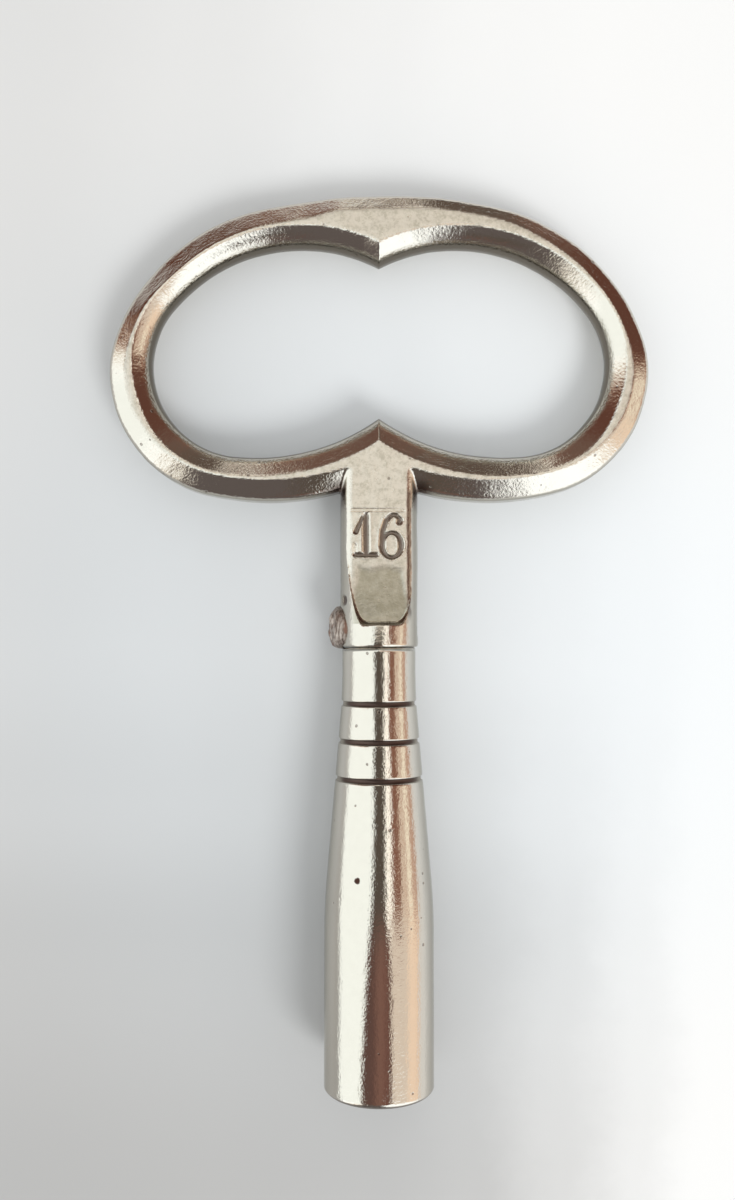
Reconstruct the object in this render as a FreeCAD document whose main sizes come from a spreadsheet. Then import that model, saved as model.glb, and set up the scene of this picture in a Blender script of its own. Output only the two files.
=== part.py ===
import FreeCAD, Part
import math
import os
import Sketcher

# Clock winding key with a kidney shaped bow, in millimetres.
# Origin: centre of the socket's mouth. +Y runs up the key to the bow, +X across the bow,
# +Z out of the face that carries the size number.
# The bow is a casting with a round neck that has a flat on its front and back. The barrel is
# turned bar with a square socket. A tenon on the barrel sits in the neck's collar, and a rivet
# through both holds them together.

SIZES = {
    # Barrel, from the mouth towards the bow
    "square_size": 6.5,
    "square_depth": 20.0,
    "corner_wall": 1.4,
    "mouth_edge": 0.35,
    "mouth_lead": 0.6,
    "pilot_diameter": 6.7,
    "pilot_extra": 4.0,
    "drill_angle": 118.0,
    "parallel_length": 19.5,
    "taper_length": 23.4,
    "slim_length": 4.9,
    "slim_diameter": 8.06,
    "taper_ease": 3.0,
    "groove_start": 1.2,
    "groove_pitch": 4.05,
    "groove_width": 0.5,
    "groove_depth": 0.4,
    "shoulder_edge": 0.2,
    # Joint between barrel and bow
    "tenon_diameter": 4.0,
    "tenon_length": 7.0,
    "tenon_edge": 0.4,
    "fit_clearance": 0.03,
    "end_clearance": 0.3,
    "rivet_diameter": 1.6,
    "rivet_height": 2.0,
    "head_diameter": 4.4,
    "head_height": 1.3,
    "head_rim": 0.2,
    # Neck of the bow, from the joint upwards
    "neck_diameter": 8.6,
    "neck_length": 17.1,
    "collar_length": 2.9,
    "collar_edge": 0.4,
    "runout_width": 6.9,
    "runout_corner": 2.6,
    "runout_draft": 28.0,
    "neck_round": 0.5,
    # Ring of the bow
    "bow_thickness": 5.4,
    "bow_width": 59.3,
    "side_bar": 4.7,
    "root_bar": 8.2,
    "opening_height": 16.75,
    "crown_bar": 7.8,
    "outer_bevel": 2.3,
    "outer_bevel_depth": 1.4,
    "inner_bevel": 1.6,
    "inner_bevel_depth": 1.1,
    "outer_wide_height": 13.2,
    "inner_wide_rise": 0.8,
    "crown_radius": 61.0,
    "crown_angle": 12.4,
    "outer_high_radius": 11.7,
    "outer_low_radius": 13.9,
    "under_angle": 15.9,
    "inner_high_radius": 9.9,
    "inner_low_radius": 10.1,
    "cusp_angle": 27.8,
    "apex_angle": 35.7,
}
GROOVE_COUNT = 3
NECK_OVERLAP = 0.4
CUT_PAST = 1.0
NEAR = 1e-4

# Rules that more than one feature uses
BARREL_RADIUS = "(Sizes.square_size / sqrt(2) + Sizes.corner_wall)"
SLIM_RADIUS = "Sizes.slim_diameter / 2"
TENON_RADIUS = "Sizes.tenon_diameter / 2"
TAPER_END = "(Sizes.parallel_length + Sizes.taper_length)"
TAPER_SLOPE = f"({BARREL_RADIUS} - {SLIM_RADIUS}) / Sizes.taper_length"
BARREL_LENGTH = f"({TAPER_END} + Sizes.slim_length)"
TENON_TOP = f"({BARREL_LENGTH} + Sizes.tenon_length)"
NECK_RADIUS = "Sizes.neck_diameter / 2"
JOIN = f"({NECK_RADIUS} - {NECK_OVERLAP})"
ROOT = f"(Sizes.neck_length + {JOIN} * tan(Sizes.under_angle / 2 * 1 deg))"
NECK_TOP = f"({ROOT} + Sizes.outer_bevel + {NECK_OVERLAP})"
RIVET_RADIUS = "Sizes.rivet_diameter / 2"
DRILL_POINT = "tan(90 deg - Sizes.drill_angle / 2 * 1 deg)"
APEX = "(Sizes.neck_length + Sizes.root_bar)"
CUSP = f"({APEX} + Sizes.opening_height)"
CROWN = f"({CUSP} + Sizes.crown_bar)"
OUTER_HALF = "Sizes.bow_width / 2"
INNER_HALF = "(Sizes.bow_width / 2 - Sizes.side_bar)"
OUTER_WIDE = "(Sizes.neck_length + Sizes.outer_wide_height)"
INNER_WIDE = f"({OUTER_WIDE} + Sizes.inner_wide_rise)"

doc = FreeCAD.newDocument("clock_key")
sheet = doc.addObject("Spreadsheet::Sheet", "Sizes")
for row, (alias, value) in enumerate(SIZES.items(), start=1):
    sheet.set(f"A{row}", alias)
    sheet.set(f"B{row}", str(value))
    sheet.setAlias(f"B{row}", alias)
doc.recompute()


def plane_of(body, role):
    """The body's own origin plane or axis with this role."""
    return [item for item in body.Origin.OriginFeatures if item.Role == role][0]


def new_sketch(body, name, role="XY_Plane"):
    sketch = body.newObject("Sketcher::SketchObject", name)
    sketch.AttachmentSupport = (plane_of(body, role), [""])
    sketch.MapMode = "FlatFace"
    return sketch


def bind(sketch, kind, places, rule, start):
    """Add one dimension to the sketch and drive it by a rule on the sheet."""
    index = sketch.addConstraint(Sketcher.Constraint(kind, *places, start))
    sketch.setExpression(f"Constraints[{index}]", rule)


def pin_point(sketch, place, x_rule, y_rule, only="XY"):
    """Fix a point of the sketch. None as a rule keeps the point on that axis of the sketch."""
    point = sketch.getPoint(*place)
    for name, rule, here, axis in (("X", x_rule, point.x, -2), ("Y", y_rule, point.y, -1)):
        if name not in only:
            continue
        if rule is None:
            sketch.addConstraint(Sketcher.Constraint("PointOnObject", *place, axis))
        else:
            bind(sketch, f"Distance{name}", (-1, 1, *place), rule, here)


def value(rule):
    """The number that a rule gives with the sheet's present sizes. None stands for 0."""
    return 0.0 if rule is None else float(sheet.evalExpression(rule.replace("Sizes.", "")))


def place_of(rules):
    return FreeCAD.Vector(value(rules[0]), value(rules[1]), 0)


def draw_loop(sketch, legs):
    """Draw a closed loop of legs. It starts where the last leg ends, and None is an axis.

    A leg of one point is a straight line to it. A leg of three is an arc: its centre, its end, and
    the end's coordinate that is bound, "X" or "Y", because the radius settles the other.
    """
    start, drawn = place_of(legs[-1][0]), []
    for leg in legs:
        if len(leg) == 1:
            end = place_of(leg[0])
            number = sketch.addGeometry(Part.LineSegment(start, end), False)
            pin_point(sketch, (number, 2), *leg[0])
            drawn.append(((number, 1), (number, 2)))
        else:
            centre, goal, bound = place_of(leg[0]), place_of(leg[1]), leg[2]
            first = start - centre
            along = goal - centre
            if bound == "X":
                along.y = math.copysign(math.sqrt(first.Length ** 2 - along.x ** 2), along.y)
            else:
                along.x = math.copysign(math.sqrt(first.Length ** 2 - along.y ** 2), along.x)
            end = centre + along
            forward = first.cross(along).z > 0
            angles = [math.atan2(first.y, first.x), math.atan2(along.y, along.x)]
            circle = Part.Circle(centre, FreeCAD.Vector(0, 0, 1), first.Length)
            arc = Part.ArcOfCircle(circle, *(angles if forward else angles[::-1]))
            number = sketch.addGeometry(arc, False)
            pin_point(sketch, (number, 3), *leg[0])
            last = (number, 2 if forward else 1)
            pin_point(sketch, last, *leg[1], bound)
            drawn.append(((number, 1 if forward else 2), last))
        start = end
    for before, after in zip(drawn[-1:] + drawn[:-1], drawn):
        sketch.addConstraint(Sketcher.Constraint("Coincident", *before[1], *after[0]))


def draw_circle(sketch, x_rule, radius_rule):
    """A circle centred on the sketch's horizontal axis."""
    circle = sketch.addGeometry(Part.Circle(FreeCAD.Vector(1, 0, 0), FreeCAD.Vector(0, 0, 1), 1),
                                False)
    pin_point(sketch, (circle, 3), x_rule, None)
    bind(sketch, "Radius", (circle,), radius_rule, 1.0)


def arcs_to_side(start, facing, half, wide, radius):
    """Two arcs that touch, from a start point to the side of the ring, where it is widest.

    The first leaves the start with its centre in the direction it is facing. The second has the
    radius given and ends upright at the side. Returns each arc's centre and where they meet.
    """
    side = (f"({half} - {radius})", wide)
    reach = [f"({start[k]} - {side[k]})" for k in (0, 1)]
    first_radius = (f"(({radius}) ^ 2 - {reach[0]} ^ 2 - {reach[1]} ^ 2)"
                    f" / (2 * ({reach[0]} * {facing[0]} + {reach[1]} * {facing[1]} + {radius}))")
    first = [f"({start[k]} + {first_radius} * {facing[k]})" for k in (0, 1)]
    share = f"{first_radius} / ({first_radius} - {radius})"
    meet = [f"({first[k]} + ({side[k]} - {first[k]}) * {share})" for k in (0, 1)]
    return first, side, meet


def bore_across(body, name, y_rule, before):
    """Drill the rivet's hole across the key, along X."""
    circle = new_sketch(body, f"{name}_circle", "YZ_Plane")
    draw_circle(circle, y_rule, f"{RIVET_RADIUS} + Sizes.fit_clearance")
    hole = body.newObject("PartDesign::Pocket", name)
    hole.Profile = circle
    hole.SideType = "Symmetric"
    hole.setExpression("Length", f"Sizes.neck_diameter + {CUT_PAST}")
    return cut_checked(hole, before)


def revolve(body, name, sketch, axis="V_Axis", kind="PartDesign::Revolution"):
    turned = body.newObject(kind, name)
    turned.Profile = sketch
    turned.ReferenceAxis = (sketch, [axis])
    turned.Angle = 360
    sketch.Visibility = False
    doc.recompute()
    return turned


def cut_checked(feature, before):
    """Recompute and make sure that a cut has removed something."""
    doc.recompute()
    if feature.Shape.Volume >= before - NEAR:
        raise RuntimeError(f"{feature.Label} cuts nothing")
    return feature


def bevel_edges(body, name, base, front, outside):
    """Bevel the ring's outline or its hole, on the front or the back: wide across, less deep."""
    level = size("bow_thickness") / 2 * (1 if front else -1)
    chosen = face_edges(base.Shape, level, outside)
    names = [f"Edge{k}" for k, edge in enumerate(base.Shape.Edges, start=1)
             if any(edge.isSame(other) for other in chosen)]
    if not names:
        raise RuntimeError(f"{name} finds no edge")
    width = f"Sizes.{'outer' if outside else 'inner'}_bevel"
    expected = value(f"{OUTER_HALF} - {width}" if outside else f"{INNER_HALF} + {width}")
    feature = body.newObject("PartDesign::Chamfer", name)
    feature.Base = (base, names)
    feature.ChamferType = "Two distances"
    feature.setExpression("Size", width)
    feature.setExpression("Size2", f"{width}_depth")

    # Which side takes the first distance depends on the order of the faces, so both are tried
    for flipped in (False, True):
        feature.FlipDirection = flipped
        cut_checked(feature, base.Shape.Volume)
        left = face_edges(feature.Shape, level, outside)
        if abs(max(edge.BoundBox.XMax for edge in left) - expected) < NEAR:
            return feature
    raise RuntimeError(f"{name} is the wrong way round")


def face_edges(shape, level, outside):
    """Edges of the flat face at this level: its outline, or its hole."""
    found = []
    for face in shape.Faces:
        if isinstance(face.Surface, Part.Plane) and abs(face.CenterOfMass.z - level) < NEAR:
            for wire in face.Wires:
                if wire.isSame(face.OuterWire) == outside:
                    found += wire.Edges
    return found


def size(alias):
    return sheet.get(alias)


def make_barrel():
    """Turned barrel: parallel, tapered and slim stretches, three grooves, socket and tenon."""
    body = doc.addObject("PartDesign::Body", "barrel")
    body.Label = "barrel"

    profile = new_sketch(body, "barrel_profile")
    draw_loop(profile, [
        [(None, None)],
        [(f"{BARREL_RADIUS} - Sizes.mouth_edge", None)],
        [(BARREL_RADIUS, "Sizes.mouth_edge")],
        [(BARREL_RADIUS, "Sizes.parallel_length - Sizes.taper_ease")],
        [(f"{BARREL_RADIUS} - {TAPER_SLOPE} * Sizes.taper_ease",
          "Sizes.parallel_length + Sizes.taper_ease")],
        [(SLIM_RADIUS, TAPER_END)],
        [(SLIM_RADIUS, f"{BARREL_LENGTH} - Sizes.shoulder_edge")],
        [(f"{SLIM_RADIUS} - Sizes.shoulder_edge", BARREL_LENGTH)],
        [(TENON_RADIUS, BARREL_LENGTH)],
        [(TENON_RADIUS, f"{TENON_TOP} - Sizes.tenon_edge")],
        [(f"{TENON_RADIUS} - Sizes.tenon_edge", TENON_TOP)],
        [(None, TENON_TOP)],
    ])
    last = revolve(body, "barrel_turning", profile)

    for k in range(GROOVE_COUNT):
        below = f"(Sizes.groove_start + {k} * Sizes.groove_pitch)"
        floor = f"{SLIM_RADIUS} + {below} * {TAPER_SLOPE} - Sizes.groove_depth"
        low = f"{TAPER_END} - {below} - Sizes.groove_width / 2"
        high = f"{TAPER_END} - {below} + Sizes.groove_width / 2"
        clear = f"{BARREL_RADIUS} + {CUT_PAST}"
        outline = new_sketch(body, f"groove_{k + 1}_outline")
        draw_loop(outline, [[(floor, low)], [(clear, low)], [(clear, high)], [(floor, high)]])
        before = last.Shape.Volume
        last = revolve(body, f"groove_{k + 1}", outline, kind="PartDesign::Groove")
        cut_checked(last, before)

    last = bore_across(body, "tenon_hole", f"{BARREL_LENGTH} + Sizes.rivet_height",
                       last.Shape.Volume)

    square = new_sketch(body, "socket_square", "XZ_Plane")
    half = "Sizes.square_size / 2"
    draw_loop(square, [[(half, f"-{half}")], [(half, half)], [(f"-{half}", half)],
                       [(f"-{half}", f"-{half}")]])
    socket = body.newObject("PartDesign::Pocket", "square_socket")
    socket.Profile = square
    socket.setExpression("Length", "Sizes.square_depth")
    last = cut_checked(socket, last.Shape.Volume)

    pilot = new_sketch(body, "pilot_profile")
    pilot_radius = "Sizes.pilot_diameter / 2"
    pilot_end = "(Sizes.square_depth + Sizes.pilot_extra)"
    draw_loop(pilot, [
        [(None, None)],
        [(f"{pilot_radius} + Sizes.mouth_lead", None)],
        [(pilot_radius, "Sizes.mouth_lead")],
        [(pilot_radius, pilot_end)],
        [(None, f"{pilot_end} + {pilot_radius} * {DRILL_POINT}")],
    ])
    before = last.Shape.Volume
    cut_checked(revolve(body, "pilot_hole", pilot, kind="PartDesign::Groove"), before)
    return body


def make_bow():
    """Cast bow: a bevelled ring with an inner cusp, a flatted neck and a bored collar.

    It is drawn from the joint with the barrel, and placed at the barrel's shoulder.
    """
    body = doc.addObject("PartDesign::Body", "bow")
    body.Label = "bow"
    body.setExpression("Placement.Base.y", BARREL_LENGTH)

    # The underside runs on into the neck and levels out at the middle of the key
    crown_end = ("Sizes.crown_radius * sin(Sizes.crown_angle * 1 deg)",
                 f"({CROWN} - Sizes.crown_radius * (1 - cos(Sizes.crown_angle * 1 deg)))")
    high = arcs_to_side(crown_end, ("-sin(Sizes.crown_angle * 1 deg)",
                                    "-cos(Sizes.crown_angle * 1 deg)"),
                        OUTER_HALF, OUTER_WIDE, "Sizes.outer_high_radius")
    low = arcs_to_side((JOIN, "Sizes.neck_length"), ("sin(Sizes.under_angle * 1 deg)",
                                                     "cos(Sizes.under_angle * 1 deg)"),
                       OUTER_HALF, OUTER_WIDE, "Sizes.outer_low_radius")
    apex = arcs_to_side(("0", APEX), ("sin(Sizes.apex_angle * 1 deg)",
                                      "cos(Sizes.apex_angle * 1 deg)"),
                        INNER_HALF, INNER_WIDE, "Sizes.inner_low_radius")
    cusp = arcs_to_side(("0", CUSP), ("sin(Sizes.cusp_angle * 1 deg)",
                                      "-cos(Sizes.cusp_angle * 1 deg)"),
                        INNER_HALF, INNER_WIDE, "Sizes.inner_high_radius")
    outline = new_sketch(body, "ring_half_outline")
    draw_loop(outline, [
        [(None, f"{CROWN} - Sizes.crown_radius"), crown_end, "X"],
        [high[0], high[2], "X"],
        [high[1], (OUTER_HALF, OUTER_WIDE), "Y"],
        [low[1], low[2], "X"],
        [low[0], (JOIN, "Sizes.neck_length"), "X"],
        [(None, f"Sizes.neck_length - {JOIN} / tan(Sizes.under_angle * 1 deg)"), (None, ROOT), "X"],
        [(None, APEX)],
        [apex[0], apex[2], "X"],
        [apex[1], (INNER_HALF, INNER_WIDE), "Y"],
        [cusp[1], cusp[2], "X"],
        [cusp[0], (None, CUSP), "X"],
        [(None, CROWN)],
    ])
    pad = body.newObject("PartDesign::Pad", "half_ring")
    pad.Profile = outline
    pad.SideType = "Symmetric"
    pad.setExpression("Length", "Sizes.bow_thickness")
    doc.recompute()
    ring = body.newObject("PartDesign::Mirrored", "ring")
    ring.Originals = [pad]
    ring.MirrorPlane = (plane_of(body, "YZ_Plane"), [""])
    body.Tip = ring
    doc.recompute()

    # The ring's front and back edges are bevelled flat, more outside than inside
    last = bevel_edges(body, "inner_front_bevel", ring, True, False)
    last = bevel_edges(body, "inner_back_bevel", last, False, False)
    last = bevel_edges(body, "outer_front_bevel", last, True, True)
    last = bevel_edges(body, "outer_back_bevel", last, False, True)

    # The neck is a round bar with a flat front and back, level with the ring, and eased edges
    section = new_sketch(body, "neck_section", "XZ_Plane")
    section.setExpression("AttachmentOffset.Base.z", "-Sizes.collar_length")
    round_rule, level = "Sizes.neck_round", "(Sizes.bow_thickness / 2)"
    eased = f"({level} - {round_rule})"
    edge = f"sqrt(({NECK_RADIUS} - {round_rule}) ^ 2 - {eased} ^ 2)"
    out = f"{NECK_RADIUS} / ({NECK_RADIUS} - {round_rule})"
    draw_loop(section, [
        [(edge, level)],
        [(edge, eased), (f"{edge} * {out}", f"{eased} * {out}"), "Y"],
        [(None, None), (f"{edge} * {out}", f"-{eased} * {out}"), "Y"],
        [(edge, f"-{eased}"), (edge, f"-{level}"), "X"],
        [(f"-{edge}", f"-{level}")],
        [(f"-{edge}", f"-{eased}"), (f"-{edge} * {out}", f"-{eased} * {out}"), "Y"],
        [(None, None), (f"-{edge} * {out}", f"{eased} * {out}"), "Y"],
        [(f"-{edge}", eased), (f"-{edge}", level), "X"],
    ])
    neck = body.newObject("PartDesign::Pad", "neck")
    neck.Profile = section
    neck.Reversed = True
    neck.setExpression("Length", f"{NECK_TOP} - Sizes.collar_length")
    before = last.Shape.Volume
    doc.recompute()
    if neck.Shape.Volume <= before + NEAR or neck.Shape.BoundBox.YMin < -NEAR:
        raise RuntimeError("the neck points the wrong way")

    collar = new_sketch(body, "collar_profile")
    bend = "(Sizes.collar_length + Sizes.runout_corner)"
    draw_loop(collar, [[(None, None)], [(f"{NECK_RADIUS} - Sizes.collar_edge", None)],
                       [(NECK_RADIUS, "Sizes.collar_edge")], [(NECK_RADIUS, bend)], [(None, bend)]])
    last = revolve(body, "collar", collar)

    # The flats run out in a U above the collar
    flat = new_sketch(body, "flat_outline")
    flat.setExpression("AttachmentOffset.Base.z", "Sizes.bow_thickness / 2")
    side = "Sizes.runout_width / 2"
    inset = f"({side} - Sizes.runout_corner)"
    low, high = "Sizes.collar_length", f"{bend} + {CUT_PAST}"
    draw_loop(flat, [
        [(side, high)],
        [(f"-{side}", high)],
        [(f"-{side}", bend)],
        [(f"-{inset}", bend), (f"-{inset}", low), "X"],
        [(inset, low)],
        [(inset, bend), (side, bend), "Y"],
    ])
    front = body.newObject("PartDesign::Pocket", "front_flat")
    front.Profile = flat
    front.Reversed = True
    front.setExpression("Length", NECK_RADIUS)
    front.setExpression("TaperAngle", "Sizes.runout_draft")
    last = cut_checked(front, last.Shape.Volume)
    both = body.newObject("PartDesign::Mirrored", "both_flats")
    both.Originals = [front]
    both.MirrorPlane = (plane_of(body, "XY_Plane"), [""])
    body.Tip = both
    last = cut_checked(both, last.Shape.Volume)

    socket = new_sketch(body, "tenon_socket_profile")
    socket_radius = f"({TENON_RADIUS} + Sizes.fit_clearance)"
    socket_end = "(Sizes.tenon_length + Sizes.end_clearance)"
    draw_loop(socket, [
        [(None, f"-{CUT_PAST}")],
        [(socket_radius, f"-{CUT_PAST}")],
        [(socket_radius, socket_end)],
        [(None, f"{socket_end} + {socket_radius} * {DRILL_POINT}")],
    ])
    before = last.Shape.Volume
    last = revolve(body, "tenon_socket", socket, kind="PartDesign::Groove")
    cut_checked(last, before)
    bore_across(body, "collar_hole", "Sizes.rivet_height", last.Shape.Volume)
    return body


def make_rivet():
    """Rivet through collar and tenon: a hammered head at the left, filed flush at the right."""
    body = doc.addObject("PartDesign::Body", "rivet")
    body.Label = "rivet"
    body.setExpression("Placement.Base.y", f"{BARREL_LENGTH} + Sizes.rivet_height")

    head_radius = "Sizes.head_diameter / 2"
    crown = f"-({NECK_RADIUS} + Sizes.head_height)"
    rim = f"-({NECK_RADIUS} + Sizes.head_rim)"
    seat = f"-sqrt(({NECK_RADIUS}) ^ 2 - ({head_radius}) ^ 2) + Sizes.fit_clearance"
    rise = "(Sizes.head_height - Sizes.head_rim)"
    dome_radius = f"(({rise} ^ 2 + ({head_radius}) ^ 2) / (2 * {rise}))"
    dome = new_sketch(body, "head_profile")
    draw_loop(dome, [
        [(f"{crown} + {dome_radius}", None), (rim, head_radius), "X"],
        [(seat, head_radius)],
        [(seat, None)],
        [(crown, None)],
    ])
    last = revolve(body, "head", dome, "H_Axis")

    # The head is hammered down on the round of the collar
    collar = new_sketch(body, "collar_circle", "XZ_Plane")
    draw_circle(collar, None, f"{NECK_RADIUS} + Sizes.fit_clearance")
    saddle = body.newObject("PartDesign::Pocket", "saddle")
    saddle.Profile = collar
    saddle.SideType = "Symmetric"
    saddle.setExpression("Length", f"Sizes.head_diameter + {CUT_PAST}")
    last = cut_checked(saddle, last.Shape.Volume)

    shank = new_sketch(body, "shank_profile")
    left = f"-({NECK_RADIUS} + Sizes.head_rim)"
    right = f"sqrt(({NECK_RADIUS}) ^ 2 - ({RIVET_RADIUS}) ^ 2)"
    draw_loop(shank, [[(left, None)], [(right, None)], [(right, RIVET_RADIUS)],
                      [(left, RIVET_RADIUS)]])
    revolve(body, "shank", shank, "H_Axis")
    return body


bodies = [make_barrel(), make_bow(), make_rivet()]
doc.recompute()

for item in doc.Objects:
    if "Invalid" in item.State or "Error" in item.State:
        raise RuntimeError(f"{item.Label} failed: {item.State}")

os.makedirs("parts", exist_ok=True)
for body in bodies:
    shape = body.Shape
    if shape.isNull() or not shape.isValid():
        raise RuntimeError(f"{body.Label} has no valid shape")
    shape.exportStep(f"parts/{body.Label}.step")
    box = shape.optimalBoundingBox(True, False)
    print(f"{body.Label}: {len(shape.Solids)} solid, {shape.Volume:.1f} mm3, "
          f"X {box.XMin:.2f} to {box.XMax:.2f}, Y {box.YMin:.2f} to {box.YMax:.2f}, "
          f"Z {box.ZMin:.2f} to {box.ZMax:.2f}")
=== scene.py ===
"""The looks of the clock key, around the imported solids. Lengths are in millimetres until a mesh is made."""
import math

import bpy
import numpy as np
from mathutils import Matrix, Vector


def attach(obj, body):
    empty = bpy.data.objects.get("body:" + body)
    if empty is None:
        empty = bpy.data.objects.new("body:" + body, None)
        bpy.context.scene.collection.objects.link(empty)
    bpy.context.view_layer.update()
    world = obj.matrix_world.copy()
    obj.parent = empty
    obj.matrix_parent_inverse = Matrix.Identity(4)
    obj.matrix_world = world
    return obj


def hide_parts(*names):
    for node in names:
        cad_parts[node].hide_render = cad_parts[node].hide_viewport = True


MM = 0.001

# Camera, as fitted to the photograph
IMAGE_HEIGHT = 1200
FOCAL_PIXELS = 1144.0
AIM = (-1.25, 53.0, 0.0)
CAMERA_DISTANCE = 126.02
CAMERA_LEAN = -0.0344

# Barrel
BARREL_RADIUS = 6.5 / math.sqrt(2) + 1.4
PARALLEL_END = 19.5
TAPER_END = 42.9
SHOULDER = 47.8
SLIM_RADIUS = 4.03
BLENDS = (3.2, 2.4)
GROOVES = (33.6, 37.65, 41.7)
GROOVE_WIDTH = 0.5
GROOVE_DEPTH = 0.17
GROOVE_LIP = 0.07
GROOVE_LIP_REACH = 0.75
MOUTH_EDGE = 0.35
MOUTH_LEAD = 0.6
SQUARE_HALF = 3.25
SQUARE_DEPTH = 20.0
PILOT_RADIUS = 3.35
PILOT_END = 24.0
DRILL_SLOPE = math.tan(math.radians(90 - 118 / 2))
SHOULDER_EDGE = 0.2
TENON_RADIUS = 2.0
TENON_LENGTH = 7.0
TENON_EDGE = 0.4
TENON_END_RADIUS = 1.2

# Bow
HALF_THICKNESS = 2.7
OUTER_SLOPE = math.atan2(1.4, 2.3)
FLATTER_RIGHT = math.radians(3.5)
INNER_SLOPE = math.atan2(1.1, 1.6)
OUTER_BEVEL_TOP = 1.9
OUTER_BEVEL_BOTTOM = 2.2
WIDER_UPPER_LEFT = 0.6
NARROWER_CROWN_RIGHT = 0.35
INNER_BEVEL = 1.95
WIDER_INNER_BOTTOM = 0.4
UNDER_WIDTH = 1.3
UNDER_SLOPE = math.radians(57)
RIDGE = 0.13
UNDER_RIDGE = 0.35
OUTER_EASING = 0.55
INNER_EASING = 0.3
ROOT_BLEND = 0.22
FOOT_EDGE = 0.35
FLAT_EDGE = 0.42
OUTER_HALF = 29.65
INNER_HALF = 24.95
NECK_RADIUS = 4.3
NECK_LENGTH = 17.1
APEX = 25.3
CUSP = 42.05
CROWN = 49.85
OUTER_WIDE = 30.3
INNER_WIDE = 31.1
JOIN = 3.9
CROWN_RADIUS = 61.0
CROWN_ANGLE = 12.4
UNDER_ANGLE = 15.9
APEX_ANGLE = 35.7
CUSP_ANGLE = 27.8
OUTER_TURN_TOP = 11.7
OUTER_TURN_BOTTOM = 13.9
INNER_TURN_TOP = 9.9
INNER_TURN_BOTTOM = 10.1
SOCKET_RADIUS = 2.03
SOCKET_DEPTH = 7.3
RIVET_HEIGHT = 2.0
RIVET_RADIUS = 0.8
RIVET_PLAY = 0.03
RUNOUT_SCALE = 0.8
DRILL_SCALE = 0.85

# The rivet: half its head's width and length, how egg-shaped the head is, how far it stands out, how deep its
# rim sits in the skin, and where the shank starts and ends
HEAD_ASIDE = 2.5
HEAD_ALONG = 2.35
HEAD_EGG = 0.2
HEAD_OUT = 1.33
HEAD_RIM = 0.25
SHANK_START = -4.0
SHANK_END = 4.15

# The U in which each flat ends: its middle, its bottom and how far its ends stand above that
RUNOUT_FRONT = (0.3, 2.55, 2.1)
RUNOUT_BACK = (0.0, 2.85, 2.2)
RUNOUT_HALF = 2.95
RUNOUT_SLOPE = 2.3
RUNOUT_MIDDLE = 4.0
RUNOUT_ROUNDING = 0.01

# The number on the neck's front: strokes with their half width at both ends, and the bowl of the 6
STROKES = (
    (((-1.42, 14.2), (-1.38, 10.1)), 0.33, 0.33),
    (((-1.75, 14.15), (-2.5, 12.5)), 0.12, 0.24),
    (((-2.6, 10.0), (-0.3, 10.0)), 0.2, 0.2),
    (((0.34, 11.0), (0.42, 12.65), (0.8, 13.8), (1.3, 14.3), (1.85, 14.3), (2.3, 13.85)), 0.29, 0.17),
    (((2.28, 13.75), (2.2, 13.55)), 0.27, 0.27),
)
BOWL_CENTRE = (1.37, 11.05)
BOWL_RADII = (1.03, 1.34)
BOWL_WIDTHS = (0.27, 0.16)
WITNESS_MARKS = ((((-2.9, 14.85), (2.65, 14.8)), 0.13, 0.13), (((-2.65, 11.1), (-2.6, 10.3)), 0.2, 0.2))
STAMP_DEPTH = 0.2
LIP_HEIGHT = 0.035
WITNESS_DEPTH = 0.06
PATCH_DEPTH = 0.06
PATCH_MIDDLE = 0.1
PATCH_HALF = 2.5
PATCH_WIDER = 0.55
PATCH_TOP = 8.7

# Rust and dirt on the bow at the flat's right edge and the pit above the rivet, and painted shade in the corner under
# the ring
RUST_EDGE = 3.26
SHADED_CORNER = (4.5, 16.6)
NECK_PIT = (-3.75, 5.1, 1.8)
NECK_PIT_RADII = (0.35, 0.62, 0.9)

# How the metal strays from the drawn form: how far it sinks, then height, wavelength and seed of each wave
BOW_SINK = 0.05
BOW_WAVES = ((0.025, 6.0, 3), (0.006, 1.9, 5))
PIT_DEPTH = 0.2
BARREL_SINK = 0.012
BARREL_WAVES = ((0.006, 4.0, 11), (0.0025, 1.3, 12))
RIVET_WAVES = ((0.15, 1.1, 21), (0.07, 0.5, 22))

# Stage and light, in metres
LAMP_SIZE = 0.42
LAMP_POWER = 4.4
LAMP_PLACE = (0.42, -0.62, 0.72)
LAMP_AIM = (0.0, 0.05, 0.0)
FLOOR_REACH = 1.6
BALANCE = 0.053


# ---------------------------------------------------------------- helpers

def smooth_step(value, low, high):
    share = np.clip((value - low) / (high - low), 0, 1)
    return share * share * (3 - 2 * share)


def smooth_max(a, b, width):
    share = np.maximum(width - np.abs(a - b), 0) / width
    return np.maximum(a, b) + share * share * width / 4


def smooth_min(a, b, width):
    return -smooth_max(-a, -b, width)


def waves(points, length, seed, count=14):
    """Smooth unevenness of about this wavelength, between about -1 and 1."""
    chance = np.random.default_rng(seed)
    total = np.zeros(len(points))
    for _ in range(count):
        way = chance.normal(size=3)
        way *= 2 * math.pi / length / np.linalg.norm(way) * chance.uniform(0.6, 1.4)
        total += np.cos(points @ way + chance.uniform(0, 2 * math.pi))
    return total / math.sqrt(count)


def ring_faces(rings, around):
    """Quads that join each ring of points to the next."""
    here = np.arange(around)
    after = np.roll(here, -1)
    return np.concatenate([
        np.stack([k * around + here, (k + 1) * around + here, (k + 1) * around + after, k * around + after], 1)
        for k in range(rings - 1)])


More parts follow.
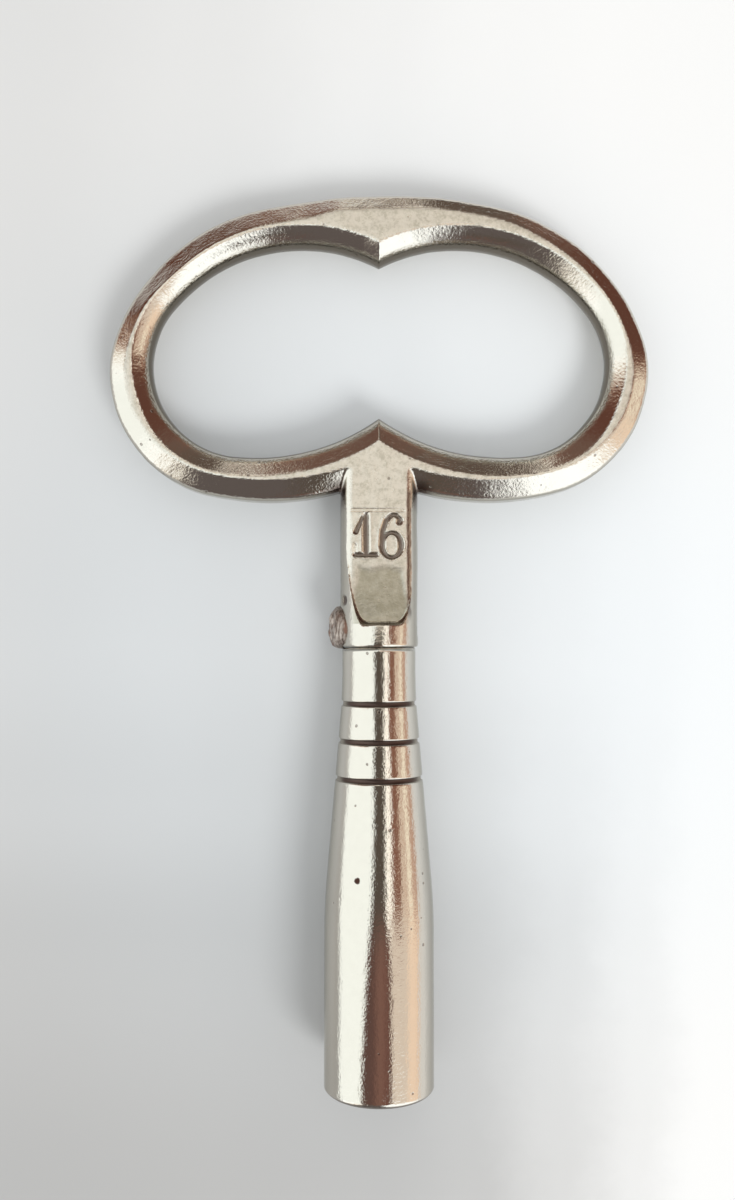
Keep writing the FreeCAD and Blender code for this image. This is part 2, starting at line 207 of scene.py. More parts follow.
def add_piece(name, points, faces, node, material):
    """A smooth-shaded mesh of quads that stands for one node of the part."""
    mesh = bpy.data.meshes.new(name)
    mesh.vertices.add(len(points))
    mesh.vertices.foreach_set("co", (np.asarray(points) * MM).astype(np.float32).ravel())
    count, corners = faces.shape
    mesh.loops.add(count * corners)
    mesh.loops.foreach_set("vertex_index", faces.astype(np.int32).ravel())
    mesh.polygons.add(count)
    mesh.polygons.foreach_set("loop_start", np.arange(0, count * corners, corners, dtype=np.int32))
    mesh.update(calc_edges=True)
    mesh.validate()
    mesh.polygons.foreach_set("use_smooth", np.full(len(mesh.polygons), True))
    mesh.materials.append(material)
    piece = bpy.data.objects.new(name, mesh)
    bpy.context.scene.collection.objects.link(piece)
    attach(piece, "root")
    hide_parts(node)
    return piece


def add_mask(piece, name, values):
    """Where a finish shows on a piece, for its material to read."""
    layer = piece.data.attributes.new(name, "FLOAT", "POINT")
    layer.data.foreach_set("value", np.asarray(values, dtype=np.float32))


# ---------------------------------------------------------------- the bow

BOW_MASKS = ("stamped", "patch", "cast", "corner_shade_and_rust", "wall_stain_and_shade")


class Arc:
    """One arc of an outline, with the solid inside it (sense 1) or outside it (sense -1)."""

    def __init__(self, centre, start, end, sense):
        self.centre, self.start, self.end = (np.array(p, float) for p in (centre, start, end))
        self.radius = np.hypot(*(self.start - self.centre))
        self.sense = sense
        a, b = self.start - self.centre, self.end - self.centre
        self.turn = np.sign(a[0] * b[1] - a[1] * b[0])

    def distance(self, x, y):
        """Signed distance, and whether the nearest point is an end."""
        px, py = x - self.centre[0], y - self.centre[1]
        a, b = self.start - self.centre, self.end - self.centre
        within = (((a[0] * py - a[1] * px) * self.turn >= 0)
                  & ((px * b[1] - py * b[0]) * self.turn >= 0))
        along = (np.hypot(px, py) - self.radius) * self.sense
        ends = np.minimum(np.hypot(x - self.start[0], y - self.start[1]),
                          np.hypot(x - self.end[0], y - self.end[1]))
        return np.where(within, along, np.where(along < 0, -ends, ends))


def side_arcs(start, facing, half, wide, radius, sense=1):
    """Two tangent arcs, from a start whose normal is known to the outline's widest point."""
    start, side = np.array(start, float), np.array([half - radius, wide])
    reach = start - side
    first_radius = (radius ** 2 - reach @ reach) / (2 * (reach @ facing + radius))
    first = start + first_radius * facing
    meet = first + (side - first) * first_radius / (first_radius - radius)
    return [Arc(first, start, meet, sense), Arc(side, meet, (half, wide), sense)]


def bearing(angle, x_sign, y_sign):
    """Unit vector at this many degrees from the key's axis."""
    return np.array([x_sign * math.sin(math.radians(angle)), y_sign * math.cos(math.radians(angle))])


CROWN_END = (CROWN_RADIUS * math.sin(math.radians(CROWN_ANGLE)),
             CROWN - CROWN_RADIUS * (1 - math.cos(math.radians(CROWN_ANGLE))))
ROOT = NECK_LENGTH + JOIN * math.tan(math.radians(UNDER_ANGLE / 2))
OUTER = ([Arc((0, CROWN - CROWN_RADIUS), (0, CROWN), CROWN_END, 1)]
         + side_arcs(CROWN_END, bearing(CROWN_ANGLE, -1, -1), OUTER_HALF, OUTER_WIDE, OUTER_TURN_TOP)
         + side_arcs((JOIN, NECK_LENGTH), bearing(UNDER_ANGLE, 1, 1), OUTER_HALF, OUTER_WIDE, OUTER_TURN_BOTTOM)
         + [Arc((0, NECK_LENGTH - JOIN / math.tan(math.radians(UNDER_ANGLE))),
                (JOIN, NECK_LENGTH), (0, ROOT), -1)])
INNER = (side_arcs((0, APEX), bearing(APEX_ANGLE, 1, 1), INNER_HALF, INNER_WIDE, INNER_TURN_BOTTOM, -1)
         + side_arcs((0, CUSP), bearing(CUSP_ANGLE, 1, -1), INNER_HALF, INNER_WIDE, INNER_TURN_TOP, -1))


def nearest(arcs, x, y, corners=False):
    """Signed distance to an outline that is the same on both sides of the key."""
    x = np.abs(x)
    best = np.full(x.shape, 1e9)
    for arc in arcs:
        value = arc.distance(x, y)
        best = np.where(np.abs(value) < np.abs(best) - 1e-9, value, best)
    if corners:
        for height in (APEX, CUSP):
            gap = np.hypot(x, y - height)
            best = np.where(np.abs(np.abs(best) - gap) < 1e-9, gap, best)
    return best


def bevelled_plate(plan, z, width, slope, easing, under=False):
    """A plate of the bow's thickness with a bevel this wide, a steeper one under it and an eased edge."""
    face = np.abs(z) - HALF_THICKNESS
    bevel = (plan + width) * np.sin(slope) + face * np.cos(slope)
    shape = smooth_max(face, bevel, RIDGE)
    if under:
        steep = (plan + UNDER_WIDTH) * math.sin(UNDER_SLOPE) + face * math.cos(UNDER_SLOPE)
        shape = smooth_max(shape, steep, UNDER_RIDGE)
    return smooth_max(shape, plan, easing)


def outer_width(x, y):
    """The outer bevel is widest at the upper left, and narrowest at the right of the crown."""
    width = OUTER_BEVEL_BOTTOM + (OUTER_BEVEL_TOP - OUTER_BEVEL_BOTTOM) * smooth_step(y, 18.5, 27.0)
    width = width + WIDER_UPPER_LEFT * smooth_step(y, 36, 42) * smooth_step(-x, 4.0, 8.5)
    right = smooth_step(x, 1.0, 6.0) * smooth_step(-x, -20, -12)
    return width - NARROWER_CROWN_RIGHT * smooth_step(y, 40, 46) * right


def inner_width(y):
    """The inner bevel is wider along the bottom."""
    return INNER_BEVEL + WIDER_INNER_BOTTOM * (1 - smooth_step(y, 21.0, 28.0))


def outer_slope(x, y):
    """The outer bevel is a little flatter along the upper right."""
    return OUTER_SLOPE - FLATTER_RIGHT * smooth_step(y, 24, 33) * smooth_step(x, -1.5, 3.0)


def runout(edge, x, y):
    """How much higher the face may stand below the U in which the flat ends."""
    middle, bottom, rise = edge
    side = np.abs(x - middle)
    below = bottom + rise * (side / RUNOUT_HALF) ** 5 - y
    slope = RUNOUT_SLOPE * (1 + RUNOUT_MIDDLE * (1 - smooth_step(side, 0.6, 2.3)))
    return slope * (np.sqrt(below * below + RUNOUT_ROUNDING) + below) / 2


def stroke_nearness(stroke, x, y):
    """Distance to a stroke as a share of its half width, which goes from one number to another."""
    points, first, last = stroke
    best = np.full(x.shape, 1e9)
    legs = len(points) - 1
    for k, ((ax, ay), (bx, by)) in enumerate(zip(points, points[1:])):
        run = (bx - ax, by - ay)
        share = np.clip(((x - ax) * run[0] + (y - ay) * run[1]) / (run[0] ** 2 + run[1] ** 2), 0, 1)
        width = first + (last - first) * (k + share) / legs
        best = np.minimum(best, np.hypot(x - ax - share * run[0], y - ay - share * run[1]) / width)
    return best


def bowl_nearness(x, y):
    """The same for the ring that the 6 ends in."""
    across, along = (x - BOWL_CENTRE[0]) / BOWL_RADII[0], (y - BOWL_CENTRE[1]) / BOWL_RADII[1]
    reach = np.hypot(across, along) + 1e-9
    side = (across / reach) ** 2
    width = BOWL_WIDTHS[0] * side + BOWL_WIDTHS[1] * (1 - side)
    radius = BOWL_RADII[0] * side + BOWL_RADII[1] * (1 - side)
    return np.abs(reach - 1) * radius / width


def number_nearness(x, y):
    return np.minimum.reduce([stroke_nearness(stroke, x, y) for stroke in STROKES] + [bowl_nearness(x, y)])


def stamp(x, y):
    """The stamped number, as a share of its depth."""
    return 1 - smooth_step(number_nearness(x, y), 0.35, 1.25)


def lips(x, y):
    """Metal pushed up along the strokes, and the faint marks that the stamp's holder left."""
    near = number_nearness(x, y)
    raised = smooth_step(near, 1.1, 1.5) * (1 - smooth_step(near, 1.6, 2.4))
    faint = np.minimum.reduce([stroke_nearness(mark, x, y) for mark in WITNESS_MARKS])
    return LIP_HEIGHT * raised - WITNESS_DEPTH * (1 - smooth_step(faint, 0.2, 1.6))


def recess(x, y):
    """The shallow dull patch below the number, as a share of its depth."""
    half = PATCH_HALF + PATCH_WIDER * smooth_step(-y, -8.0, -4.5)
    across = smooth_step(half - np.abs(x - PATCH_MIDDLE), -0.25, 0.45)
    return across * smooth_step(PATCH_TOP + 0.15 * np.sin(1.9 * x) - y, -0.35, 0.6)


def front_height(x, y):
    """How high the front flat stands."""
    return (HALF_THICKNESS - STAMP_DEPTH * stamp(x, y) + lips(x, y) - PATCH_DEPTH * recess(x, y)
            + runout(RUNOUT_FRONT, x, y))


def bow_field(x, y, z, front=None):
    """Signed distance to the bow, in its own frame with Y from the joint.

    Steep run-outs and the drill's cone are scaled, to keep the field's slope near one.
    """
    outside = bevelled_plate(nearest(OUTER, x, y), z, outer_width(x, y), outer_slope(x, y), OUTER_EASING)
    inside = bevelled_plate(nearest(INNER, x, y, True), z, inner_width(y), INNER_SLOPE, INNER_EASING, True)
    ring = np.maximum(outside, inside)
    high = front_height(x, y) if front is None else front
    low = HALF_THICKNESS + runout(RUNOUT_BACK, x, y)
    around = np.hypot(x, z) - NECK_RADIUS
    foot = smooth_max(-y, around, FOOT_EDGE)
    flats = np.maximum(z - high, -z - low)
    neck = smooth_max(foot, flats * RUNOUT_SCALE, FLAT_EDGE)
    neck = np.maximum(neck, y - ROOT - OUTER_BEVEL_BOTTOM)
    solid = np.maximum(smooth_min(ring, neck, ROOT_BLEND), flats * RUNOUT_SCALE)
    bore = np.maximum(np.hypot(x, z) - SOCKET_RADIUS,
                      (y - SOCKET_DEPTH - (SOCKET_RADIUS - np.hypot(x, z)) * DRILL_SLOPE) * DRILL_SCALE)
    hole = np.hypot(y - RIVET_HEIGHT, z) - RIVET_RADIUS - RIVET_PLAY
    return np.maximum(np.maximum(solid, -bore), -hole)


def painted_corner_shade(x, y, z):
    """How deep a point lies in the corner between the ring and the neck's sides, which is darkened there as painted
    shade.
    """
    corner = np.hypot(np.abs(x) - SHADED_CORNER[0], (y - SHADED_CORNER[1]) * 0.8)
    return (1 - smooth_step(corner, 0.4, 1.9)) * (1 - smooth_step(z, 1.9, 2.6))


def pit_depth(x, y, z):
    """A casting pit in the neck's left side, just above the rivet."""
    reach = np.sqrt(sum(((way - middle) / radius) ** 2
                        for way, middle, radius in zip((x, y, z), NECK_PIT, NECK_PIT_RADII)))
    return 1 - smooth_step(reach, 0.6, 1.2)


def net_surface(values, axes):
    """A mesh of quads around every change of sign, with one point in each cell that is crossed."""
    inside = values < 0
    shape = tuple(n - 1 for n in values.shape)
    steps = [(i, j, k) for i in (0, 1) for j in (0, 1) for k in (0, 1)]
    count = np.zeros(shape, np.int8)
    for i, j, k in steps:
        count += inside[i:i + shape[0], j:j + shape[1], k:k + shape[2]]
    active = (count > 0) & (count < 8)
    index = np.full(shape, -1, np.int64)
    index[active] = np.arange(active.sum())
    cell = np.argwhere(active)
    total, number = np.zeros((len(cell), 3)), np.zeros(len(cell))
    for axis in range(3):
        unit = np.eye(3, dtype=int)[axis]
        for step in steps:
            if step[axis]:
                continue
            a = cell + np.array(step)
            b = a + unit
            value_a, value_b = values[tuple(a.T)], values[tuple(b.T)]
            crossed = (value_a < 0) != (value_b < 0)
            share = np.where(crossed, value_a / np.where(crossed, value_a - value_b, 1), 0)
            place = np.stack([axes[d][a[:, d]] for d in range(3)], 1).astype(float)
            place[:, axis] += share * (axes[axis][b[:, axis]] - axes[axis][a[:, axis]])
            total[crossed] += place[crossed]
            number[crossed] += 1
    points = total / number[:, None]
    faces = []
    for axis in range(3):
        low = [slice(None)] * 3
        high = [slice(None)] * 3
        low[axis], high[axis] = slice(0, -1), slice(1, None)
        changed = inside[tuple(low)] != inside[tuple(high)]
        edge = np.argwhere(changed)
        u, v = [(1, 2), (2, 0), (0, 1)][axis]
        keep = ((edge[:, u] > 0) & (edge[:, v] > 0)
                & (edge[:, u] < values.shape[u] - 1) & (edge[:, v] < values.shape[v] - 1))
        edge = edge[keep]
        quad = []
        for du, dv in ((-1, -1), (0, -1), (0, 0), (-1, 0)):
            at = edge.copy()
            at[:, u] += du
            at[:, v] += dv
            quad.append(index[tuple(at.T)])
        quad = np.stack(quad, 1)
        outward = inside[tuple(low)][tuple(edge.T)]
        quad[~outward] = quad[~outward][:, ::-1]
        faces.append(quad)
    return points, np.concatenate(faces)


def graded(stops):
    """Grid lines from (start, end, step) stretches."""
    lines = [np.linspace(a, b, max(1, round((b - a) / step)), endpoint=False) for a, b, step in stops]
    return np.append(np.concatenate(lines), stops[-1][1])


def edge_rust(x, y, z):
    """Rust along the right edge of the neck's front flat."""
    middle = RUST_EDGE + 0.04 * np.sin(2.3 * y) + 0.03 * np.sin(5.1 * y + 1)
    across = 1 - smooth_step(np.abs(x - middle), 0.12, 0.34)
    return across * smooth_step(y, 2.6, 4.0) * smooth_step(-y, -17.4, -16.6) * (z > 1.8)


def gradient(points, reach=0.02):
    """The way in which the bow's field rises."""
    slope = np.empty_like(points)
    for axis in range(3):
        shift = np.zeros(3)
        shift[axis] = reach
        slope[:, axis] = (bow_field(*(points + shift).T) - bow_field(*(points - shift).T)) / (2 * reach)
    return slope


def settled(points, turns=3, longest=0.12):
    """The points, moved onto the surface."""
    for _ in range(turns):
        slope = gradient(points)
        level = bow_field(*points.T)
        step = -level[:, None] * slope / np.maximum((slope ** 2).sum(1), 0.25)[:, None]
        length = np.linalg.norm(step, axis=1)
        step *= np.minimum(1, longest / np.maximum(length, 1e-9))[:, None]
        points = points + step
    return points


def make_bow(material):
    """The cast ring and its neck, as one mesh around the field."""
    coarse, fine = 0.26, 0.13
    gx = graded([(-29.9, -4.7, coarse), (-4.7, 4.7, fine), (4.7, 29.9, coarse)])
    gy = graded([(-0.2, 17.0, fine), (17.0, 50.1, coarse)])
    gz = graded([(-4.5, -2.0, 0.2), (-2.0, 1.6, 0.25), (1.6, 3.1, 0.13), (3.1, 4.5, 0.17)])
    plan_x, plan_y = np.meshgrid(gx, gy, indexing="ij")
    front = front_height(plan_x, plan_y)
    values = np.empty((len(gx), len(gy), len(gz)), np.float32)
    for k, level in enumerate(gz):
        values[:, :, k] = bow_field(plan_x, plan_y, np.full_like(plan_x, level), front)
    points, faces = net_surface(values, (gx, gy, gz))
    points = settled(points)
    slope = gradient(points)
    slope /= np.maximum(np.linalg.norm(slope, axis=1), 1e-9)[:, None]
    x, y, z = points.T
    stamped = stamp(x, y) * (z > 0) * (y < 20)
    patch = recess(x, y) * (z > 2.2) * (y > 2.6) * (np.abs(slope[:, 2]) > 0.5)
    cast = smooth_step(np.abs(slope[:, 2]), 0.93, 0.99) * (np.abs(z) < 2.95)
    # Painted shade in the corners under the ring, dirt in the pit and rust along the flat's edge
    corner_shade_and_rust = np.maximum.reduce([painted_corner_shade(x, y, z), pit_depth(x, y, z), 0.75 * edge_rust(x, y, z)])
    inside = 1 - smooth_step(-nearest(INNER, x, y, True), 0.2, 0.9)
    # Steep walls, most of all the upper inner ones: darkened partly by stain, partly by painted shade
    wall_stain_and_shade = 1 - smooth_step(np.abs(slope[:, 2]), 0.4, 0.78)
    wall_stain_and_shade *= 0.5 + 0.5 * inside * smooth_step(z, -0.8, 0.5)
    uneven = sum(height * waves(points, length, seed) for height, length, seed in BOW_WAVES)
    uneven = uneven - PIT_DEPTH * pit_depth(x, y, z)
    points = points + slope * (uneven - BOW_SINK)[:, None]
    points[:, 1] += SHOULDER
    bow = add_piece("bow_casting", points, faces, "bow", material)
    for name, mask in zip(BOW_MASKS, (stamped, patch, cast, corner_shade_and_rust, wall_stain_and_shade)):
        add_mask(bow, name, mask)
    return bow


# ---------------------------------------------------------------- the barrel

def barrel_radius(y):
    """The turned outside without its grooves, but with the metal drawn in beside them."""
    slope = (BARREL_RADIUS - SLIM_RADIUS) / (TAPER_END - PARALLEL_END)
    line = np.interp(y, (0, PARALLEL_END, TAPER_END, SHOULDER),
                     (BARREL_RADIUS, BARREL_RADIUS, SLIM_RADIUS, SLIM_RADIUS))
    for middle, reach, sign in ((PARALLEL_END, BLENDS[0], -1), (TAPER_END, BLENDS[1], 1)):
        near = np.maximum(reach - np.abs(y - middle), 0)
        line = line + sign * slope * near ** 2 / (4 * reach)
    for middle in GROOVES:
        line = line - GROOVE_LIP * np.maximum(1 - np.abs(y - middle) / GROOVE_LIP_REACH, 0) ** 2
    return line


def groove_depth(y):
    """The grooves, as a share of their depth."""
    depth = np.zeros_like(y)
    for middle in GROOVES:
        depth = np.maximum(depth, smooth_step(GROOVE_WIDTH / 2 + 0.07 - np.abs(y - middle), 0, 0.14))
    return depth


def make_barrel(material):
    """The turned outside and the socket, as one skin from the drill's point to the tenon's end."""
    around = 288
    angle = np.arange(around) * 2 * math.pi / around
    near = [middle + side * reach for middle in GROOVES for side in (-1, 1)
            for reach in (0.05, 0.12, 0.18, 0.22, 0.26, 0.32, 0.42, 0.55, 0.7)]
    rows = np.unique(np.round(np.concatenate([np.linspace(MOUTH_EDGE, SHOULDER - SHOULDER_EDGE, 190), near]), 4))
    rings = [(0.0, BARREL_RADIUS - MOUTH_EDGE, 0.5), (0.03, BARREL_RADIUS - 0.88 * MOUTH_EDGE, 0.7),
             (0.5 * MOUTH_EDGE, BARREL_RADIUS - 0.4 * MOUTH_EDGE, 0.75),
             (0.88 * MOUTH_EDGE, BARREL_RADIUS - 0.08 * MOUTH_EDGE, 0.4), (1.1 * MOUTH_EDGE, BARREL_RADIUS, 0)]
    depth = groove_depth(rows)
    rings += [(y, r - GROOVE_DEPTH * d, d) for y, r, d in zip(rows[1:], barrel_radius(rows)[1:], depth[1:])]
    for turn in np.linspace(0, math.pi / 2, 5):
        rings.append((SHOULDER - SHOULDER_EDGE + SHOULDER_EDGE * math.sin(turn),
                      SLIM_RADIUS - SHOULDER_EDGE * (1 - math.cos(turn)), 0))
    end = SHOULDER + TENON_LENGTH
    rings += [(SHOULDER, TENON_RADIUS, 0), (end - TENON_EDGE, TENON_RADIUS, 0),
              (end, TENON_RADIUS - TENON_EDGE, 0), (end, TENON_END_RADIUS, 0)]
    outside = []
    masks = []
    for y, radius, grooved in rings:
        outside.append(np.stack([radius * np.sin(angle), np.full(around, y), radius * np.cos(angle)], 1))
        masks.append(np.full(around, grooved))
    grid = np.stack(outside)
    skin = (grid[..., 1] < SHOULDER - 0.05) & (grid[..., 1] > 0.3)
    flat = grid.reshape(-1, 3)
    (long_height, long_length, long_seed), (height, length, seed) = BARREL_WAVES
    even = long_height * waves(flat * (1, 0.35, 1), long_length, long_seed) + height * waves(flat, length, seed)
    push = (even - BARREL_SINK).reshape(grid.shape[:2]) * skin
    grid[..., 0] += push * np.sin(angle)
    grid[..., 2] += push * np.cos(angle)

    square = SQUARE_HALF / np.maximum(np.abs(np.sin(angle)), np.abs(np.cos(angle)))
    inside = []
    for y in (0.0, 0.2 * MOUTH_LEAD, 0.45 * MOUTH_LEAD, 0.7 * MOUTH_LEAD, MOUTH_LEAD, SQUARE_DEPTH):
        reach = np.maximum(square, PILOT_RADIUS + max(MOUTH_LEAD - y, 0))
        inside.append(np.stack([reach * np.sin(angle), np.full(around, y), reach * np.cos(angle)], 1))
    for y, radius in ((SQUARE_DEPTH, PILOT_RADIUS), (PILOT_END, PILOT_RADIUS),
                      (PILOT_END + PILOT_RADIUS * DRILL_SLOPE, 0.02)):
        inside.append(np.stack([radius * np.sin(angle), np.full(around, y), radius * np.cos(angle)], 1))
    masks = [np.ones(around)] * len(inside) + masks
    grid = np.concatenate([np.stack(inside[::-1]), grid])
    faces = ring_faces(len(grid), around)
    barrel = add_piece("barrel_turned", grid.reshape(-1, 3), faces, "barrel", material)
    add_mask(barrel, "grooved", np.concatenate(masks))
    return barrel


# ---------------------------------------------------------------- the rivet

def make_rivet(material):
    """A hammered head, long along the key, on the end of a plain shank."""
    around, rows = 64, 22
    angle = np.arange(around) * 2 * math.pi / around
    points = []
    for k in range(rows):
        turn = math.pi / 2 * k / (rows - 1)
        spread = math.cos(turn) ** 0.7
        aside = HEAD_ASIDE * spread * np.sin(angle)
        skin = np.sqrt(NECK_RADIUS ** 2 - aside ** 2) - HEAD_RIM
        along = spread * (HEAD_ALONG * np.cos(angle) + HEAD_EGG * np.cos(2 * angle))
        points.append(np.stack([-skin - HEAD_OUT * math.sin(turn) ** 0.8, RIVET_HEIGHT + along, aside], 1))
    points = points[::-1]
    for reach, radius in ((SHANK_START, RIVET_RADIUS), (SHANK_END, RIVET_RADIUS), (SHANK_END + 0.01, 0.01)):
        points.append(np.stack([np.full(around, reach), RIVET_HEIGHT + radius * np.cos(angle),
                                radius * np.sin(angle)], 1))
    grid = np.stack(points)
    head = grid[:rows].reshape(-1, 3)
    (long_height, long_length, long_seed), (height, length, seed) = RIVET_WAVES
    rough = long_height * waves(head * (1, 0.4, 1), long_length, long_seed) + height * waves(head, length, seed)
    grid[:rows, :, 0] += rough.reshape(rows, around) * 0.7
    points = grid.reshape(-1, 3)
    points[:, 1] += SHOULDER
    faces = ring_faces(len(grid), around)
    return add_piece("rivet_head", points, faces, "rivet", material)


# ---------------------------------------------------------------- materials

class Nodes:
    """A short way to add and join shader nodes."""

    def __init__(self, tree):
        self.tree = tree

    def add(self, kind, inputs=None, **settings):
        node = self.tree.nodes.new(kind)
        for key, value in settings.items():
            setattr(node, key, value)
        for key, value in (inputs or {}).items():
            self.put(value, node.inputs[key])
        return node

    def put(self, value, socket):
        if isinstance(value, bpy.types.NodeSocket):
            self.tree.links.new(value, socket)
        else:
            socket.default_value = value

    def math(self, operation, *values):
        node = self.add("ShaderNodeMath", operation=operation)
        for socket, value in zip(node.inputs, values):
            self.put(value, socket)
        return node.outputs[0]

    def times(self, a, b):
        return self.math("MULTIPLY", a, b)

    def ramp(self, factor, stops):
        node = self.add("ShaderNodeValToRGB", {"Fac": factor})
        ramp = node.color_ramp
        ramp.interpolation = "EASE"
        while len(ramp.elements) < len(stops):
            ramp.elements.new(0.5)
        for element, (place, colour) in zip(ramp.elements, stops):
            element.position = place
            element.color = (*colour, 1)
        return node.outputs["Color"]

    def mix(self, factor, a, b):
        node = self.add("ShaderNodeMix", data_type="RGBA")
        self.put(factor, node.inputs["Factor"])
        for value, socket in ((a, node.inputs[6]), (b, node.inputs[7])):
            self.put((*value, 1) if isinstance(value, tuple) else value, socket)
        return node.outputs[2]

    def noise(self, place, scale, detail=3.0, rough=0.5):
        node = self.add("ShaderNodeTexNoise", {"Vector": place, "Scale": scale, "Detail": detail,
                                               "Roughness": rough})
        return node.outputs[0]

    def fade(self, value, low, high):
        """0 at the first number and 1 at the second, which may be the lower."""
        node = self.add("ShaderNodeMapRange", {"Value": value, "From Min": low, "From Max": high},
                        interpolation_type="SMOOTHSTEP")
        return node.outputs[0]

    def mask(self, name):
        return self.add("ShaderNodeAttribute", attribute_name=name).outputs["Fac"]

    def stretched(self, place, scale):
        return self.add("ShaderNodeMapping", {"Vector": place, "Scale": scale}).outputs[0]

    def distance(self, place, point):
        node = self.add("ShaderNodeVectorMath", {0: place, 1: point}, operation="DISTANCE")
        return node.outputs["Value"]


def new_material(name):
    material = bpy.data.materials.new(name)
    material.use_nodes = True
    tree = material.node_tree
    tree.nodes.clear()
    nodes = Nodes(tree)
    shader = nodes.add("ShaderNodeBsdfPrincipled")
    nodes.add("ShaderNodeOutputMaterial", {"Surface": shader.outputs[0]})
    place = nodes.add("ShaderNodeTexCoord").outputs["Object"]
    return material, nodes, shader, place


# Linear colours, and the place of the barrel's one big pit in millimetres
NICKEL = (0.635, 0.60, 0.54)
DULL_NICKEL = (0.545, 0.505, 0.445)
# Darkens the pits and the number, and paints shade into the bow's corners
GRIME_AND_SHADE = (0.075, 0.045, 0.034)
GROOVE_RUST = (0.05, 0.023, 0.018)
PATCH_OLIVE = (0.325, 0.305, 0.24)
# The two tones below darken the bow's walls and the barrel's sides: partly stain, partly painted shade
SIDE_STAIN_AND_SHADE = (0.38, 0.35, 0.29)
DARK_STAIN_AND_SHADE = (0.15, 0.13, 0.105)
STEEL_DARK = (0.16, 0.12, 0.10)
STEEL_PALE = (0.55, 0.48, 0.43)
STEEL_RUST = (0.22, 0.13, 0.10)
PAPER_BLUE = (0.965, 1.0, 1.015)
PAPER_WARM = (1.0, 1.0, 0.985)
PIT_PLACE = (-2.36, 23.36, 5.2)

# Sizes of the patterns, in cycles a metre, and heights of the bumps, in metres
CLOUD_SIZE = 900.0
PIT_SIZE = 850.0
WORN_SIZE = 3600.0
GRAIN_SIZE = 1700.0
BLOTCH_SIZE = 1100.0
BARREL_SCRATCHES = (3400.0, 300.0, 3400.0)
BOW_SCRATCHES = (5200.0, 800.0, 3000.0)
STREAK_SIZE = 4200.0
STAIN_SIZE = 700.0
PAPER_SIZE = 70.0
FINISH_BUMP = 0.00004
CAST_BUMP = 0.00006
RIVET_BUMP = 0.00012


def metal_finish(nodes, shader, place, scratch_turn, scratch_size, scratch_depth, grain_depth):
    """Nickel with fine scratches one way, a worn grain, small pits and cloudy tarnish.

    Gives the colour, the roughness and the normal, for the material to go on from.
    """
    shader.inputs["Metallic"].default_value = 1.0
    cloud = nodes.noise(place, CLOUD_SIZE, 4.0, 0.6)
    turned = nodes.add("ShaderNodeMapping", {"Vector": place, "Rotation": (0, 0, scratch_turn)}).outputs[0]
    fine = nodes.noise(nodes.stretched(turned, scratch_size), 1.0, 3.0, 0.55)
    cells = nodes.add("ShaderNodeTexVoronoi", {"Vector": place, "Scale": PIT_SIZE, "Randomness": 1.0})
    few = nodes.add("ShaderNodeSeparateColor", {"Color": cells.outputs["Color"]}).outputs[0]
    reach = nodes.times(nodes.fade(few, 0.5, 0.98), 0.14)
    pit = nodes.fade(nodes.math("SUBTRACT", cells.outputs["Distance"], reach), 0.03, -0.02)
    pit = nodes.times(pit, nodes.fade(few, 0.48, 0.52))
    worn = nodes.noise(place, WORN_SIZE, 3.0, 0.55)
    rough = nodes.add("ShaderNodeMapRange", {"Value": cloud, "From Min": 0.3, "From Max": 0.7,
                                             "To Min": 0.05, "To Max": 0.11}).outputs[0]
    height = nodes.math("ADD", nodes.times(fine, scratch_depth), nodes.times(worn, grain_depth))
    height = nodes.math("SUBTRACT", height, pit)
    bump = nodes.add("ShaderNodeBump", {"Height": height, "Distance": FINISH_BUMP})
    bump.inputs["Strength"].default_value = 0.5
    colour = nodes.mix(nodes.times(cloud, 0.35), NICKEL, DULL_NICKEL)
    colour = nodes.mix(nodes.times(pit, 0.55), colour, GRIME_AND_SHADE)
    return colour, rough, bump.outputs[0]


def barrel_material():
    """Nickel plate, dark in its grooves and its one big pit, with painted shade along its sides."""
    material, nodes, shader, place = new_material("barrel_nickel_plate")
    colour, rough, normal = metal_finish(nodes, shader, place, 0.0, BARREL_SCRATCHES, 0.5, 1.2)
    grooved = nodes.mask("grooved")
    colour = nodes.mix(nodes.times(grooved, 0.93), colour, GROOVE_RUST)
    away = nodes.distance(place, tuple(v * MM for v in PIT_PLACE))
    ragged = nodes.math("ADD", away, nodes.times(nodes.noise(place, 2500.0, 2.0, 0.5), 0.0003))
    colour = nodes.mix(nodes.fade(ragged, 0.00056, 0.00040), colour, GROOVE_RUST)
    normals = nodes.add("ShaderNodeNewGeometry").outputs["Normal"]
    facing = nodes.add("ShaderNodeSeparateXYZ", {"Vector": normals})
    # Painted shade: the skin is darker where it faces sideways
    aside = nodes.fade(nodes.math("ABSOLUTE", facing.outputs[2]), 0.6, 0.25)
    colour = nodes.mix(nodes.times(aside, 0.85), colour, SIDE_STAIN_AND_SHADE)
    nodes.put(colour, shader.inputs["Base Color"])
    nodes.put(nodes.math("ADD", rough, nodes.times(grooved, 0.35)), shader.inputs["Roughness"])
    nodes.put(normal, shader.inputs["Normal"])
    return material


